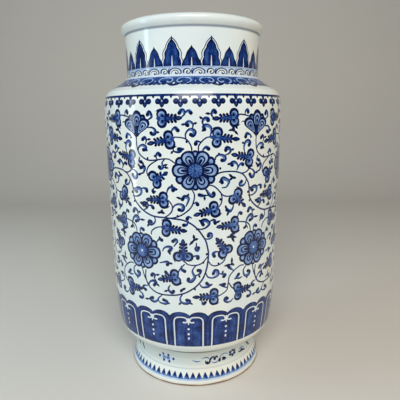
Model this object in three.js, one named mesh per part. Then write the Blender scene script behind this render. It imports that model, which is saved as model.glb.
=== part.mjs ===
// Lantern-shaped porcelain vase, made of rings of clay luted edge to edge.
// Millimetres, +Z up, origin at the middle of the foot's underside.
import * as THREE from 'three';

// Height of each ring, from the table up
const footHeight = 47;
const lowerBodyHeight = 99;
const middleBodyHeight = 99;
const upperBodyHeight = 98;
const shoulderHeight = 47;
const neckHeight = 50;
const lipHeight = 14;

// Outside radii, and how far each stretch swells or draws in from them
const bodyRadius = 115.4;
const middleTaper = 1;
const lowerTaper = 2.2;
const undersideTaper = 8.1;
const shoulderRound = 5.2;
const footTopRadius = 86;
const footWaistDepth = 2.6;
const footSpread = 8.5;
const neckRadius = 85.2;
const neckFlare = 0.7;
const lipOverhang = 4.3;

// Heights above the ring's own lower joint
const footWaistHeight = 35;
const undersideHeight = 19;
const shoulderCornerHeight = 29.3;
const lipWidestHeight = 8.5;

// Thickness of the clay, and the bare rim that the vase stands on
const bodyWall = 7.5;
const neckWall = 6.5;
const floorThickness = 9;
const floorLedgeWidth = 8;
const floorClearance = 0.3;
const footRimWidth = 8;
const footBevel = 1;

// Roll of slip left inside at each body joint
const slipRollDepth = 1.2;
const slipRollHeight = 5;

// Sides around the vase, and steps along each curve of an outline
const sides = 64;
const curveSteps = 6;

// Joint heights, radii and places that follow from the sizes above
const lowerJoint = footHeight + lowerBodyHeight;
const middleJoint = lowerJoint + middleBodyHeight;
const upperJoint = middleJoint + upperBodyHeight;
const neckJoint = upperJoint + shoulderHeight;
const lipJoint = neckJoint + neckHeight;
const lowerJointRadius = bodyRadius - lowerTaper;
const middleJointRadius = bodyRadius - middleTaper;
const footWaistRadius = footTopRadius - footWaistDepth;
const footEdgeRadius = footWaistRadius + footSpread;
const lipJointRadius = neckRadius + neckFlare;
const floorPocketRadius = footTopRadius - bodyWall;
const floorSeat = footHeight - floorThickness;

const porcelain = { color: 0xdfe3dc, roughness: 0.15, metalness: 0 };

const at = (radius, height) => new THREE.Vector2(radius, height);

// A point part of the way from one point to another
const between = (from, to, share) => from.clone().lerp(to, share);

// Points along a curve that leaves and reaches its ends towards two handles
function bend(start, startHandle, endHandle, end, steps = curveSteps) {
  return new THREE.CubicBezierCurve(start, startHandle, endHandle, end).getPoints(steps);
}

// Joins stretches of outline and leaves out the points that two of them share
function outline(...stretches) {
  const points = [];
  for (const point of stretches.flat()) {
    const last = points.at(-1);
    if (!last || last.distanceTo(point) > 1e-6) points.push(point);
  }
  return points;
}

// The same outline moved in by a wall that changes evenly, its ends kept level with the joints
function inset(points, wallBelow, wallAbove = wallBelow) {
  const last = points.length - 1;
  return points.map((point, index) => {
    const wall = THREE.MathUtils.lerp(wallBelow, wallAbove, index / last);
    if (index === 0 || index === last) return at(point.x - wall, point.y);
    const along = points[index + 1].clone().sub(points[index - 1]).normalize();
    return at(point.x - along.y * wall, point.y + along.x * wall);
  });
}

// Adds the roll of slip at the lower or upper joint of an inside outline
function withSlipRolls(inside, { below, above }) {
  const first = inside[0];
  const last = inside.at(-1);
  const room = slipRollHeight * 1.5;
  const middle = inside.slice(1, -1).filter((point) => {
    const clearBelow = !below || point.y > first.y + room;
    const clearAbove = !above || point.y < last.y - room;
    return clearBelow && clearAbove;
  });
  const rollBelow = [at(first.x - slipRollDepth, first.y), at(first.x, first.y + slipRollHeight)];
  const rollAbove = [at(last.x, last.y - slipRollHeight), at(last.x - slipRollDepth, last.y)];
  return [...(below ? rollBelow : [first]), ...middle, ...(above ? rollAbove : [last])];
}

// Turns a profile about the vase's axis
function turned(name, profile) {
  const geometry = new THREE.LatheGeometry(profile, sides);
  geometry.rotateX(Math.PI / 2);
  const mesh = new THREE.Mesh(geometry, new THREE.MeshStandardMaterial(porcelain));
  mesh.name = name;
  return mesh;
}

// A ring turned from its outside and inside outlines, both listed from the bottom up
function ring(name, outside, inside) {
  return turned(name, [...outside, ...inside.toReversed(), outside[0].clone()]);
}

// The spreading foot, bare at its rim, with a ledge inside for the floor
function footRing() {
  const rimEdge = footEdgeRadius - footBevel;
  const ledgeRadius = floorPocketRadius - floorLedgeWidth;
  const outside = outline(
    [at(rimEdge, 0)],
    bend(
      at(footEdgeRadius, footBevel),
      at(footEdgeRadius - 1.2, footWaistHeight * 0.25),
      at(footWaistRadius, footWaistHeight * 0.6),
      at(footWaistRadius, footWaistHeight),
    ),
    [at(footTopRadius, footHeight)],
  );
  const inside = [
    at(rimEdge - footRimWidth, 0),
    at(ledgeRadius, floorSeat * 0.4),
    at(ledgeRadius, floorSeat),
    at(floorPocketRadius, floorSeat),
    at(floorPocketRadius, footHeight),
  ];
  return ring('foot_ring', outside, inside);
}

// The slab that closes the bottom, seated on the foot's ledge
function baseFloor() {
  const slabRadius = floorPocketRadius - floorClearance;
  return turned('base_floor', [
    at(0, floorSeat),
    at(slabRadius, floorSeat),
    at(slabRadius, footHeight),
    at(0, footHeight),
  ]);
}

// The rounded underside, which turns up into the body
function lowerBody() {
  const start = at(footTopRadius, footHeight);
  const turn = at(bodyRadius - undersideTaper, footHeight + undersideHeight);
  const end = at(lowerJointRadius, lowerJoint);
  const outside = outline(
    bend(
      start,
      at(between(start, turn, 0.5).x, start.y + undersideHeight * 0.2),
      at(turn.x - 2, turn.y - undersideHeight * 0.5),
      turn,
    ),
    bend(
      turn,
      at(turn.x + 4, between(turn, end, 0.28).y),
      at(end.x - 1, between(turn, end, 0.62).y),
      end,
    ),
  );
  return ring('lower_body', outside, withSlipRolls(inset(outside, bodyWall), { above: true }));
}

// A nearly straight ring of the body between two joints
function bodyRing(name, start, end) {
  const outside = bend(
    start,
    at(between(start, end, 0.6).x, between(start, end, 0.3).y),
    at(end.x, between(start, end, 0.6).y),
    end,
    4,
  );
  const inside = withSlipRolls(inset(outside, bodyWall), { below: true, above: true });
  return ring(name, outside, inside);
}

// The ring that rounds over at the top of the body and slopes in to the neck
function shoulder() {
  const start = at(bodyRadius, upperJoint);
  const corner = at(bodyRadius - shoulderRound, upperJoint + shoulderCornerHeight);
  const end = at(neckRadius, neckJoint);
  const outside = outline(
    bend(
      start,
      at(start.x, between(start, corner, 0.55).y),
      at(between(start, corner, 0.3).x, between(start, corner, 0.8).y),
      corner,
    ),
    bend(
      corner,
      between(corner, end, 0.26),
      at(between(corner, end, 0.86).x, between(corner, end, 0.68).y),
      end,
    ),
  );
  return ring('shoulder', outside, withSlipRolls(inset(outside, bodyWall, neckWall), { below: true }));
}

// The upright collar
function neck() {
  const start = at(neckRadius, neckJoint);
  const end = at(lipJointRadius, lipJoint);
  const outside = bend(
    start,
    at(start.x - 0.4, between(start, end, 0.4).y),
    at(start.x, between(start, end, 0.6).y),
    end,
    4,
  );
  return ring('neck', outside, inset(outside, neckWall));
}

// The thick rounded lip
function mouthRim() {
  const boreRadius = lipJointRadius - neckWall;
  const start = at(lipJointRadius, lipJoint);
  const widest = at(lipJointRadius + lipOverhang, lipJoint + lipWidestHeight);
  const top = at(lipJointRadius - neckWall * 0.6, lipJoint + lipHeight);
  const innerEdge = at(boreRadius, lipJoint + lipHeight * 0.75);
  const outside = outline(
    bend(
      start,
      at(start.x + 1, between(start, widest, 0.25).y),
      at(widest.x, between(start, widest, 0.5).y),
      widest,
      4,
    ),
    bend(
      widest,
      at(widest.x, between(widest, top, 0.65).y),
      at(between(top, widest, 0.45).x, top.y),
      top,
      5,
    ),
    bend(
      top,
      at(between(top, innerEdge, 0.8).x, top.y),
      at(innerEdge.x, between(innerEdge, top, 0.6).y),
      innerEdge,
      3,
    ),
  );
  return ring('mouth_rim', outside, [at(boreRadius, lipJoint)]);
}

const vase = new THREE.Group();
vase.add(
  footRing(),
  baseFloor(),
  lowerBody(),
  bodyRing('middle_body', at(lowerJointRadius, lowerJoint), at(middleJointRadius, middleJoint)),
  bodyRing('upper_body', at(middleJointRadius, middleJoint), at(bodyRadius, upperJoint)),
  shoulder(),
  neck(),
  mouthRim(),
);

export default vase;
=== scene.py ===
# Lantern-shaped porcelain vase, painted in cobalt blue under a clear glaze.
# Each ring of the vase is one closed skin. The painting is drawn as flat outlines in degrees round
# the axis and millimetres above the table, and cut into the skins, so each stroke has its own faces.
import math

import bpy
import numpy as np
from mathutils import Matrix, Vector
from mathutils.geometry import delaunay_2d_cdt
from mathutils.kdtree import KDTree


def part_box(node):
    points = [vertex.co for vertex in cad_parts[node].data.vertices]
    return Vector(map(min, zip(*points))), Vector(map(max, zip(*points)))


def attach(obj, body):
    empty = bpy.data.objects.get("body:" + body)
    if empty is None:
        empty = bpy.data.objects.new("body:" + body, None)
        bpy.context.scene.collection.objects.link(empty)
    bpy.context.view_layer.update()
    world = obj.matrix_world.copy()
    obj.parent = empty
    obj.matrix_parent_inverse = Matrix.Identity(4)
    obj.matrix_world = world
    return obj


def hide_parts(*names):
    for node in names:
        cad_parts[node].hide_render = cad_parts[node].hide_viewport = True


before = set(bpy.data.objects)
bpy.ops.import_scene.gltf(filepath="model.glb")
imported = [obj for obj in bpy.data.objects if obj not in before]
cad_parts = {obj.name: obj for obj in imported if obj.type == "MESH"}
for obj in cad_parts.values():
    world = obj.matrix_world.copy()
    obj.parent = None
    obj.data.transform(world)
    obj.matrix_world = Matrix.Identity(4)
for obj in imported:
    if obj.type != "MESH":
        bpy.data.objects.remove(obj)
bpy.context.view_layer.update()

# Metres in a millimetre
MM = 0.001


def top_of(node):
    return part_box(node)[1].z / MM


def radius_of(node):
    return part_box(node)[1].x / MM


# Joint heights and widest radii, from the frame
foot_top = top_of("foot_ring")
lower_joint = top_of("lower_body")
middle_joint = top_of("middle_body")
upper_joint = top_of("upper_body")
neck_joint = top_of("shoulder")
lip_joint = top_of("neck")
overall_height = top_of("mouth_rim")
floor_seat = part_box("base_floor")[0].z / MM
floor_radius = radius_of("base_floor")
body_radius = radius_of("upper_body")
middle_joint_radius = radius_of("middle_body")
lower_joint_radius = radius_of("lower_body")
foot_edge_radius = radius_of("foot_ring")
lip_radius = radius_of("mouth_rim")

# How far each stretch swells or draws in, as in the clay
underside_taper = 8.1
underside_height = 19
shoulder_round = 5.2
shoulder_corner_height = 29.3
foot_spread = 8.5
foot_waist_depth = 2.6
foot_waist_height = 35
neck_flare = 0.7
lip_overhang = 4.3
lip_widest_height = 8.5
body_wall = 7.5
neck_wall = 6.5
foot_rim_width = 8
foot_bevel = 1
foot_groove_heights = (43.4, 46.2)
foot_groove_depth = 1.1
floor_ledge_width = 8
shoulder_band_radius = 95
slip_roll_depth = 1.2
slip_roll_height = 5

foot_waist_radius = foot_edge_radius - foot_spread
foot_top_radius = foot_waist_radius + foot_waist_depth
lip_joint_radius = lip_radius - lip_overhang
neck_radius = lip_joint_radius - neck_flare

# Millimetres to a degree, round the body, the shoulder's band, the neck and the foot
ROUND_BODY = math.radians(body_radius)
ROUND_SHOULDER = math.radians(shoulder_band_radius)
ROUND_NECK = math.radians(neck_radius)
ROUND_FOOT = math.radians(foot_waist_radius)

# Strength of the cobalt, from bare glaze to a full dark line
GLAZE = 0.0
WHITE_LINE = 0.08
FAINT = 0.16
PALE = 0.26
PETAL = 0.34
DEEP_PETAL = 0.37
WASH = 0.5
INNER_WASH = 0.6
BLUE = 0.7
COBALT = 0.77
LINE = 0.84
DARK = 1.0


# Curves and outlines

def bend(start, start_handle, end_handle, end, steps=20):
    """Points along a curve that leaves and reaches its ends towards two handles."""
    t = np.linspace(0, 1, steps + 1)[:, None]
    corners = [np.array(corner, float) for corner in (start, start_handle, end_handle, end)]
    weights = [(1 - t) ** 3, 3 * (1 - t) ** 2 * t, 3 * (1 - t) * t ** 2, t ** 3]
    return sum(weight * corner for weight, corner in zip(weights, corners))


def straight(*points):
    return np.array(points, float)


def between(start, end, share):
    return start + (end - start) * share


def spline(before, start, end, after, step):
    """One span of a smooth curve, from start up to just before end."""
    count = max(2, math.ceil(np.linalg.norm(end - start) / step))
    t = np.arange(count)[:, None] / count
    second = 2 * before - 5 * start + 4 * end - after
    third = 3 * start - before - 3 * end + after
    return start + 0.5 * ((end - before) * t + second * t ** 2 + third * t ** 3)


def smooth(points, step=1.5):
    """A smooth line through the points, about a step from one place to the next."""
    points = np.asarray(points, float)
    first = 2 * points[0] - points[1]
    last = 2 * points[-1] - points[-2]
    ends = np.vstack([first, points, last])
    spans = [spline(*ends[index:index + 4], step) for index in range(len(points) - 1)]
    return np.vstack(spans + [points[-1:]])


def loop(points, step=1.5):
    """A smooth closed outline through the points."""
    points = np.asarray(points, float)
    ends = np.vstack([points[-1:], points, points[:2]])
    return np.vstack([spline(*ends[index:index + 4], step) for index in range(len(points))])


def ribbon(line, widths):
    """The outline of a brush stroke along a line, its widths spread evenly from start to end."""
    line = np.asarray(line, float)
    along = np.gradient(line, axis=0)
    along /= np.maximum(np.linalg.norm(along, axis=1, keepdims=True), 1e-9)
    across = np.stack([-along[:, 1], along[:, 0]], 1)
    half = np.interp(np.linspace(0, 1, len(line)), np.linspace(0, 1, len(widths)), widths)[:, None] / 2
    turn = np.radians([45, 90, 135])[:, None]
    tip = line[-1] + half[-1] * (np.cos(turn) * across[-1] + np.sin(turn) * along[-1])
    tail = line[0] - half[0] * (np.cos(turn) * across[0] + np.sin(turn) * along[0])
    return np.vstack([line + across * half, tip, (line - across * half)[::-1], tail])


def stroke(tone, points, widths, step=1.5):
    """A painted stroke of one strength that runs smoothly through the points."""
    return (tone, ribbon(smooth(points, step), widths))


def disc(centre, radius, height=None, sides=14):
    angle = np.arange(sides) * 2 * np.pi / sides
    size = (radius, radius if height is None else height)
    return np.array(centre, float) + np.stack([np.cos(angle), np.sin(angle)], 1) * size


def petal(start, end, width, sides=18):
    """A petal along +X from start to end, widest towards its tip."""
    fullness = 0.35
    angle = np.arange(sides) * 2 * np.pi / sides
    along = start + (end - start) * (1 - np.cos(angle)) / 2
    side = np.sin(angle) * (1 - fullness * np.cos(angle))
    return np.stack([along, width / 2 * side / np.abs(side).max()], 1)


def turned(points, degrees):
    angle = math.radians(degrees)
    across = np.array([math.cos(angle), math.sin(angle)])
    up = np.array([-math.sin(angle), math.cos(angle)])
    return points[:, :1] * across + points[:, 1:] * up


# Motifs: each is a list of (strength, outline) in millimetres, the last one on top

def moved(shapes, place):
    return [(tone, outline + np.array(place, float)) for tone, outline in shapes]


# The petals above and below a flower's middle are shorter than those beside it, and its top and
# bottom sepals are narrower than the others
PETAL_SQUASH = 0.9
SEPAL_SQUASH = 0.75


def flower(eye, fill):
    """A lotus seen from above: six petals, six sepals between them and a round middle."""
    # Layers from the bottom up, each with its strength, start, tip and width
    sepal_layers = ((DARK, 8, 25.1, 11.6), (PETAL, 15, 22.4, 5.4), (DARK, 9, 18.4, 2.6))
    petal_layers = (
        (DARK, 5, 26.6, 16.2),
        (fill, 7, 23.9, 11.4),
        (DARK, 6, 20.4, 8.2),
        (fill, 8, 18.4, 5.2),
        (DARK, 6, 16, 3.2),
    )
    middle = (0, 0)
    shapes = [(LINE, disc(middle, 10))]
    for first, layers in ((30, sepal_layers), (0, petal_layers)):
        for degrees in range(first, 360, 60):
            shorter = PETAL_SQUASH if 60 <= degrees % 180 <= 120 else 1
            narrower = SEPAL_SQUASH if degrees % 180 == 90 else 1
            for tone, start, tip, width in layers:
                outline = petal(start, tip, width, sides=24) * (shorter, narrower)
                shapes.append((tone, turned(outline, degrees)))
    shapes.append((WASH, disc(middle, 7.4, sides=24)))
    for degrees in range(10, 360, 30):
        shapes.append((BLUE, turned(petal(3.6, 8.2, 1.6), degrees)))
    shapes.append((eye, disc(middle, 1.3)))
    return shapes


def nested(outline, heart, layers):
    """An outline drawn in towards its heart layer by layer, each with its own strength and size."""
    outline, heart = np.array(outline, float), np.array(heart, float)
    return [(tone, loop(between(heart, outline, size))) for tone, size in layers]


def nested_pair(outline, heart, layers, left_shift):
    """A nested outline and its mirror image, which is moved to the right by a shift."""
    pair = []
    for side, shift in ((1, 0), (-1, left_shift)):
        mirrored = np.array(outline, float) * (side, 1)
        pair += moved(nested(mirrored, (side * heart[0], heart[1]), layers), (shift, 0))
    return pair


def bud():
    """A lotus from the side: a middle petal, two rounded side petals and two small lobes behind."""
    cup = [(1, -1), (-6, 6), (-4, 13), (2, 15), (7, 13), (8, 6)]
    lobe = [(-4, 15), (-9.6, 17), (-10.8, 21), (-8.6, 24), (-4.6, 23.4), (-3.4, 19)]
    middle = [
        (-2.6, 11), (-5, 17), (-4.6, 23), (-1.4, 27.4), (2.4, 28.6), (6.6, 26.6), (9, 22), (7.8, 16),
        (4.6, 11),
    ]
    side = [
        (0, 0.5), (-6, 4), (-12, 7.6), (-16.6, 11.2), (-17.6, 15), (-15.2, 18.8), (-10, 20.2),
        (-5.4, 18.4), (-2.6, 13), (-0.8, 7),
    ]
    lobe_layers = ((DARK, 1), (WASH, 0.55))
    petal_layers = ((DARK, 1), (PETAL, 0.7), (DARK, 0.54), (DEEP_PETAL, 0.38), (DARK, 0.22))
    return (
        [(DARK, loop(cup))]
        + nested_pair(lobe, (-5, 18), lobe_layers, 3.4)
        + nested(middle, (2, 15.5), petal_layers)
        + nested_pair(side, (-7.6, 10.4), petal_layers, 1.6)
        + [
            (BLUE, disc((0.8, 4.4), 1.8, 4)),
            stroke(DARK, [(0.4, -1), (0.6, 3), (0.9, 10)], (2.2, 1.2, 0.8)),
            stroke(DARK, [(-16, 14.6), (-19, 16), (-21.5, 14.6)], (1.6, 1.4, 0.4)),
        ]
    )


def leaf(root, first_lobe, second_lobe, tip):
    """A curled leaf: two round lobes with dark eyes beside its root, and a toothed tail to its tip."""
    root, first_lobe, second_lobe, tip = np.array([root, first_lobe, second_lobe, tip], float)
    middle = (first_lobe + second_lobe) / 2
    half_gap = np.linalg.norm(first_lobe - second_lobe) / 2
    length = np.linalg.norm(tip - middle)
    along = (tip - middle) / length
    across = np.array([-along[1], along[0]])
    root_place = (root - middle) @ along, (root - middle) @ across

    def laid(points):
        """Places given along and across the leaf, from between its lobes."""
        points = np.array(points, float)
        return middle + points[:, :1] * along + points[:, 1:] * across

    return (
        leaf_teeth(laid, length)
        + leaf_lobes(laid, half_gap)
        + leaf_body(laid, length, half_gap, root_place)
        + leaf_eyes(laid, half_gap)
        + leaf_end(laid, length)
    )


def leaf_teeth(laid, length):
    """Short strokes that stand out on both sides of the tail, shorter towards its tip."""
    gap = 3.9
    shapes = []
    for foot in np.arange(length * 0.3, length * 0.7, gap):
        reach = 4.3 - foot * 0.06
        for side in (1, -1):
            tooth = laid([(foot - 1, 0), (foot + 0.5, side * 2.3), (foot + 1.5, side * reach)])
            shapes.append(stroke(DARK, tooth, (2.6, 2.4, 3, 3.2), 1))
            shapes.append((DARK, disc(tooth[-1], 1.6, sides=10)))
    return shapes


def leaf_lobes(laid, half_gap):
    """The two round lobes, pale inside, and the stroke that hoods the first one."""
    rim = 2.5
    hood = laid([(1, half_gap + 5), (-3.4, half_gap + 4.9), (-6.8, half_gap + 3.6)])
    shapes = [stroke(DARK, hood, (2, 2.6, 1.8, 0.8), 1)]
    for side, radius in ((1, 6.4), (-1, 5.9)):
        outer, inner = laid([(0, side * (half_gap + 0.2)), (-0.3, side * (half_gap - 0.5))])
        shapes.append((DARK, disc(outer, radius, sides=20)))
        shapes.append((PETAL, disc(inner, radius - rim, sides=18)))
    return shapes


def leaf_body(laid, length, half_gap, root_place):
    """The tail's edge, and the blue body that runs from the root between the lobes into the tail."""
    tail = [(0, 0), (length * 0.4, 0), (length * 0.74, 0.2)]
    edge = [(length * 0.66, 0.4), (length * 0.4, 1.1), (5, 2.2), (1.6, half_gap - 1.6), (-3, 2.8)]
    other_edge = [(x, -y) for x, y in edge[::-1]]
    return [
        stroke(LINE, laid(tail), (7, 5.6, 3.6, 2.8), 1),
        (BLUE, loop(laid(edge + [root_place] + other_edge))),
    ]


def leaf_eyes(laid, half_gap):
    """A dark eye in each lobe, and a stroke that curls away from it."""
    shapes = []
    for side in (1, -1):
        places = [(0.6, half_gap - 1.4), (3.4, half_gap - 2.2), (4.9, half_gap)]
        hook = laid(straight(*places) * (1, side))
        shapes.append((WASH, disc(hook[0], 3.2, sides=14)))
        shapes.append((DARK, disc(hook[0], 1.7, sides=12)))
        shapes.append(stroke(DARK, hook, (1, 1.2, 1.8), 1))
    return shapes


def leaf_end(laid, length):
    """The small blue leaflet at the tip, given as shares of the leaf's length and distances across."""
    outline = [
        (0.68, 0.1), (0.76, 1.9), (0.88, 2.7), (1, 2.1), (1.1, 0.3), (1, -1.6), (0.88, -2.4),
        (0.76, -1.6),
    ]
    inside = [(0.8, 0.2), (0.88, 1.3), (0.99, 1), (0.99, -0.2), (0.88, -0.9)]
    return [
        (tone, loop(laid([(share * length, across) for share, across in points]), 1))
        for tone, points in ((DARK, outline), (COBALT, inside))
    ]


def curl(points, tips):
    """A tendril: a thin stem, broader and blue inside its bend, with a dark head and small spurs."""
    head = 2.2
    line = smooth(points, 1)
    drawn_in = np.linspace(0, 0.3, len(line))[:, None]
    shapes = [
        (WASH, ribbon(between(line, line[-1], drawn_in), (1.2, 2.4, 4.6, 4.2))),
        (LINE, ribbon(line, (1.4, 1.5, 1.9, 3))),
        (DARK, disc(line[-1], head)),
    ]
    for tip in tips:
        nearest = line[np.linalg.norm(line - tip, axis=1).argmin()]
        shapes.append(small_leaf(nearest, tip, (1.2, 1.6, 3.1, 2.3, 0.7)))
    return shapes


def small_leaf(start, tip, widths):
    """A small pointed leaf from a start straight out to its tip."""
    start, tip = np.array([start, tip], float)
    return (DARK, ribbon([between(start, tip, share) for share in np.linspace(0, 1, 7)], widths))


def sprig(centre, tips):
    """A little leaf of a few dark points that spread from one place."""
    points = [small_leaf(centre, tip, (1.4, 2.4, 3.4, 2.6, 0.8)) for tip in tips]
    return points + [(DARK, disc(centre, 1.9))]


# The lotus scroll, repeated round the body: places in degrees round and in millimetres up

UPPER_FLOWER = (0.9, 284.3)
LOWER_FLOWER = (38.8, 187)
BUD = (38, 321.3)
REPEATS = 5

# The stem that swings from flower to flower, and the stems that leave it
LONG_STEM = (
    (12, 279), (14.5, 281), (17, 282), (22, 282), (26, 280.5), (29, 278), (31, 274), (33, 268),
    (33.8, 262), (34, 256), (34.5, 250), (36, 245), (38, 241), (41, 236.5), (45, 232.5), (49, 230.5),
    (55, 230), (64, 228.5), (68, 226), (71, 222.5), (74, 217), (76.5, 210), (78.5, 203), (79.5, 195),
    (80, 188), (79.8, 180), (79.2, 172), (78, 163), (76, 155), (73, 148), (70, 143.5), (66, 139),
    (61, 136), (56, 135), (51, 135), (47, 137), (44, 140.5), (42, 145), (41, 150), (40.5, 156),
    (41, 163),
)
STEMS = (
    ((-1.5, 264), (-0.5, 261), (0.3, 256), (-0.5, 248), (-2, 242), (-5, 236.5), (-9, 232),
     (-13, 230), (-17, 230)),
    ((38, 166), (40, 153), (43, 144)),
    ((-33.5, 322), (-33.7, 315), (-33.2, 307), (-32, 302), (-30, 298.5), (-27, 295.5), (-24, 295),
     (-20, 296), (-17, 297), (-14, 297), (-12, 295), (-10, 292)),
    ((-1, 304), (-1, 309), (-2, 314), (-4, 318.8), (-7, 320.5), (-10.5, 321)),
    ((2.7, 304), (2.8, 311), (4.5, 316), (7, 320), (9.5, 321)),
    ((-20, 296), (-25, 290), (-27, 285), (-27.3, 280), (-25.5, 276)),
    ((-15, 251), (-13, 246.5), (-12.3, 242), (-13, 237), (-15, 233), (-17, 230.5)),
    ((-26, 209), (-25.5, 213), (-23, 217), (-20, 219)),
    ((8, 268), (11, 266.5), (13.5, 262.5), (15.5, 257.5), (17, 255), (19.5, 253.8), (22.5, 254.5)),
    ((15.5, 257), (16, 252), (15.5, 246), (14, 242)),
    ((35.5, 210), (35, 215), (33, 219.5), (30, 221.5), (27, 222.5)),
    ((-5.5, 178), (-4.5, 175.5), (-2, 174), (1, 174), (4, 176), (6, 180), (7.5, 184)),
    ((8.2, 178), (9.5, 174), (12, 172), (15, 173.5), (17.5, 177), (18.5, 182)),
    ((-6, 175), (-7.8, 171), (-9, 168), (-10, 164)),
    ((31, 167.5), (29, 168), (26, 165.5), (23, 161), (21, 156), (20.5, 150), (20, 143),
     (19.5, 139.5), (17.5, 136.5), (15, 134)),
    ((21, 148), (22.5, 143), (24.5, 139)),
    ((28, 279), (31, 280), (33.5, 283.5), (35, 287), (35.5, 292)),
    ((34, 341), (32, 343), (28, 344.5), (25, 344.5)),
)

# Small dark knots on the stems
THORNS = (
    (-26.5, 297), (-3.7, 316), (1.5, 217.5), (33, 256.5), (34.5, 246), (7, 187), (5, 177), (14, 174.5),
    (15, 251), (0, 144), (-9.5, 232.5), (33, 285), (14.8, 286),
)

# Each leaf by its root, its two lobes and its tip
LEAVES = (
    ((-20.5, 341), (-16.8, 345), (-17.4, 336.4), (-6.8, 341)),
    ((26.2, 344), (21.8, 345), (24, 337.6), (11.2, 340.4)),
    ((-10, 320.6), (-13.9, 322.4), (-12.7, 313.8), (-25.4, 313.6)),
    ((8.3, 321), (13.6, 325.2), (12.4, 314.6), (25.5, 317.4)),
    ((35.6, 292), (35, 300.2), (32.8, 291.8), (22.3, 301)),
    ((-25.5, 276), (-21.5, 277.5), (-23.3, 268.5), (-15, 281.5)),
    ((-14.8, 251), (-17.8, 254.5), (-17.3, 246.8), (-28, 250)),
    ((14.2, 242), (10.7, 243.5), (12.5, 236.6), (0.5, 234)),
    ((22, 254.4), (25.6, 257.4), (23.2, 248.4), (31, 240)),
    ((-20, 219), (-16.2, 222.4), (-16.3, 213), (-5, 215)),
    ((27, 222.5), (23.4, 224), (25, 215.6), (13.5, 219)),
    ((-5.8, 177), (-9.6, 184), (-3.6, 184.6), (-6.5, 204)),
    ((18.6, 181.5), (16.4, 187.4), (20.6, 189.8), (13, 205)),
    ((-9.6, 163), (-13.4, 161.4), (-10, 155.6), (-22, 154)),
    ((15, 134), (11, 138.4), (11.8, 128.6), (-0.5, 134)),
    ((24.2, 138.4), (28.6, 141), (25.8, 129.6), (37, 137)),
)

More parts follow.
